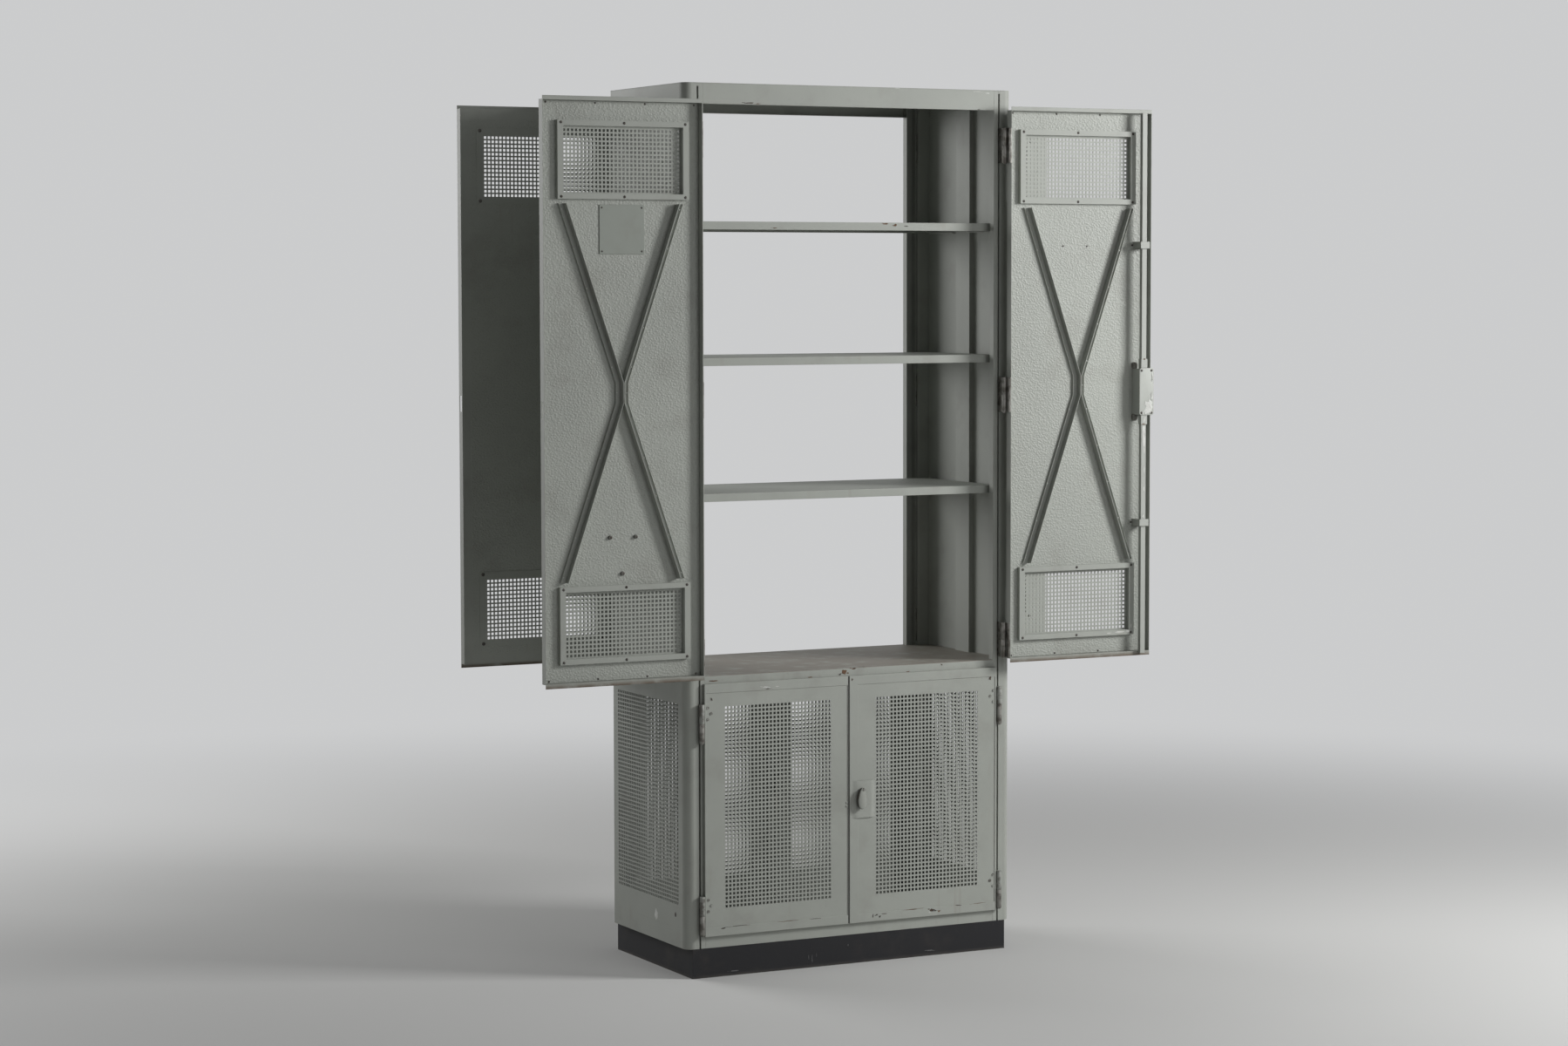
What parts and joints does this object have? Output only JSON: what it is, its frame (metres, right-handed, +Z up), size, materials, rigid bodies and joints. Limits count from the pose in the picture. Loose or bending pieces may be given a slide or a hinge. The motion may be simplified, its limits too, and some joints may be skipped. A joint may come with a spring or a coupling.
{
  "type": "steel storage cabinet",
  "caption": "Tall double-sided steel cabinet: open shelving with vented fold-back doors above a perforated lower compartment, bolt-rod locks, black plinth.",
  "frame": {"origin": "on the floor at the centre of the plinth's footprint", "axes": "+X to the right seen from the front, +Y towards the rear, +Z up"},
  "size_m": [1.5524, 0.5256, 2],
  "materials": {
    "pale_paint": "semi-matt pale grey-green paint, grained on the door liners, chipped at edges",
    "black_paint": "matt black paint",
    "hinge_steel": "worn zinc-plated steel",
    "lock_steel": "painted steel, worn pale at the touch points"
  },
  "bodies": {
    "carcass": {"plinth": "black_paint", "base_panel": "pale_paint", "bottom_rails": "pale_paint", "headers": "pale_paint", "door_stiles": "pale_paint", "corner_posts": "pale_paint", "top_cap": "pale_paint", "upper_side_left": "pale_paint", "upper_side_right": "pale_paint", "lower_side_left": "pale_paint", "lower_side_right": "pale_paint", "deck": "pale_paint", "shelf_upper": "pale_paint", "shelf_middle": "pale_paint", "shelf_lower": "pale_paint", "shelf_supports": "pale_paint", "body_hinge_leaves": "hinge_steel", "hinge_pins": "hinge_steel"},
    "upper_door_front_left": {"upper_door_front_left_tray": "pale_paint", "upper_door_front_left_panel": "pale_paint", "upper_door_front_left_vents": "pale_paint", "upper_door_front_left_braces": "pale_paint", "upper_door_front_left_hinge_leaves": "hinge_steel"},
    "upper_door_front_right": {"upper_door_front_right_tray": "pale_paint", "upper_door_front_right_panel": "pale_paint", "upper_door_front_right_vents": "pale_paint", "upper_door_front_right_braces": "pale_paint", "upper_door_front_right_hinge_leaves": "hinge_steel", "lock_front_case": "pale_paint"},
    "lock_front_handle": {"lock_front_handle": "lock_steel"},
    "lock_front_upper_rod": {"lock_front_upper_rod": "lock_steel"},
    "lock_front_lower_rod": {"lock_front_lower_rod": "lock_steel"},
    "upper_door_rear_left": {"upper_door_rear_left_tray": "pale_paint", "upper_door_rear_left_panel": "pale_paint", "upper_door_rear_left_vents": "pale_paint", "upper_door_rear_left_braces": "pale_paint", "upper_door_rear_left_hinge_leaves": "hinge_steel"},
    "upper_door_rear_right": {"upper_door_rear_right_tray": "pale_paint", "upper_door_rear_right_panel": "pale_paint", "upper_door_rear_right_vents": "pale_paint", "upper_door_rear_right_braces": "pale_paint", "upper_door_rear_right_hinge_leaves": "hinge_steel", "lock_rear_case": "pale_paint"},
    "lock_rear_handle": {"lock_rear_handle": "lock_steel"},
    "lock_rear_upper_rod": {"lock_rear_upper_rod": "lock_steel"},
    "lock_rear_lower_rod": {"lock_rear_lower_rod": "lock_steel"},
    "lower_door_front_left": {"lower_door_front_left_frame": "pale_paint", "lower_door_front_left_sheet": "pale_paint", "lower_door_front_left_hinge_leaves": "hinge_steel"},
    "lower_door_front_right": {"lower_door_front_right_frame": "pale_paint", "lower_door_front_right_sheet": "pale_paint", "lower_door_front_right_hinge_leaves": "hinge_steel"},
    "lower_handle_front": {"lower_handle_front": "lock_steel"},
    "lower_door_rear_left": {"lower_door_rear_left_frame": "pale_paint", "lower_door_rear_left_sheet": "pale_paint", "lower_door_rear_left_hinge_leaves": "hinge_steel"},
    "lower_door_rear_right": {"lower_door_rear_right_frame": "pale_paint", "lower_door_rear_right_sheet": "pale_paint", "lower_door_rear_right_hinge_leaves": "hinge_steel"},
    "lower_handle_rear": {"lower_handle_rear": "lock_steel"}
  },
  "joints": [
    {"name": "upper_door_front_left_hinge", "type": "hinge", "parent": "carcass", "child": "upper_door_front_left", "pos_m": [-0.3889, -0.225, 1.3], "axis": [0, 0, -1], "range_deg": [-180, 0]},
    {"name": "upper_door_front_right_hinge", "type": "hinge", "parent": "carcass", "child": "upper_door_front_right", "pos_m": [0.3889, -0.225, 1.3], "axis": [0, 0, 1], "range_deg": [-180, 0]},
    {"name": "lock_front_handle_turn", "type": "hinge", "parent": "upper_door_front_right", "child": "lock_front_handle", "pos_m": [0.756, -0.226, 1.3015], "axis": [0, -1, 0], "range_deg": [0, 90]},
    {"name": "lock_front_upper_rod_slide", "type": "slide", "parent": "upper_door_front_right", "child": "lock_front_upper_rod", "axis": [0, 0, 1], "range_m": [0, 0.012]},
    {"name": "lock_front_lower_rod_slide", "type": "slide", "parent": "upper_door_front_right", "child": "lock_front_lower_rod", "axis": [0, 0, -1], "range_m": [0, 0.012]},
    {"name": "upper_door_rear_left_hinge", "type": "hinge", "parent": "carcass", "child": "upper_door_rear_left", "pos_m": [-0.3889, 0.225, 1.3], "axis": [0, 0, 1], "range_deg": [-180, 0]},
    {"name": "upper_door_rear_right_hinge", "type": "hinge", "parent": "carcass", "child": "upper_door_rear_right", "pos_m": [0.3889, 0.225, 1.3], "axis": [0, 0, -1], "range_deg": [-180, 0]},
    {"name": "lock_rear_handle_turn", "type": "hinge", "parent": "upper_door_rear_right", "child": "lock_rear_handle", "pos_m": [0.756, 0.226, 1.3015], "axis": [0, 1, 0], "range_deg": [0, 90]},
    {"name": "lock_rear_upper_rod_slide", "type": "slide", "parent": "upper_door_rear_right", "child": "lock_rear_upper_rod", "axis": [0, 0, 1], "range_m": [0, 0.012]},
    {"name": "lock_rear_lower_rod_slide", "type": "slide", "parent": "upper_door_rear_right", "child": "lock_rear_lower_rod", "axis": [0, 0, -1], "range_m": [0, 0.012]},
    {"name": "lower_door_front_left_hinge", "type": "hinge", "parent": "carcass", "child": "lower_door_front_left", "pos_m": [-0.3845, -0.2122, 0.36], "axis": [0, 0, -1], "range_deg": [0, 180]},
    {"name": "lower_door_front_right_hinge", "type": "hinge", "parent": "carcass", "child": "lower_door_front_right", "pos_m": [0.3845, -0.2122, 0.36], "axis": [0, 0, 1], "range_deg": [0, 180]},
    {"name": "lower_handle_front_turn", "type": "hinge", "parent": "lower_door_front_right", "child": "lower_handle_front", "pos_m": [0.016, -0.2122, 0.382], "axis": [0, 1, 0], "range_deg": [0, 90]},
    {"name": "lower_door_rear_left_hinge", "type": "hinge", "parent": "carcass", "child": "lower_door_rear_left", "pos_m": [-0.3845, 0.2122, 0.36], "axis": [0, 0, 1], "range_deg": [0, 180]},
    {"name": "lower_door_rear_right_hinge", "type": "hinge", "parent": "carcass", "child": "lower_door_rear_right", "pos_m": [0.3845, 0.2122, 0.36], "axis": [0, 0, -1], "range_deg": [0, 180]},
    {"name": "lower_handle_rear_turn", "type": "hinge", "parent": "lower_door_rear_right", "child": "lower_handle_rear", "pos_m": [0.016, 0.2122, 0.382], "axis": [0, -1, 0], "range_deg": [0, 90]}
  ],
  "couplings": [
    {"joint": "lock_front_upper_rod_slide", "follows": "lock_front_handle_turn", "m_per_rad": 0.0076394},
    {"joint": "lock_front_lower_rod_slide", "follows": "lock_front_handle_turn", "m_per_rad": 0.0076394},
    {"joint": "lock_rear_upper_rod_slide", "follows": "lock_rear_handle_turn", "m_per_rad": 0.0076394},
    {"joint": "lock_rear_lower_rod_slide", "follows": "lock_rear_handle_turn", "m_per_rad": 0.0076394}
  ]
}
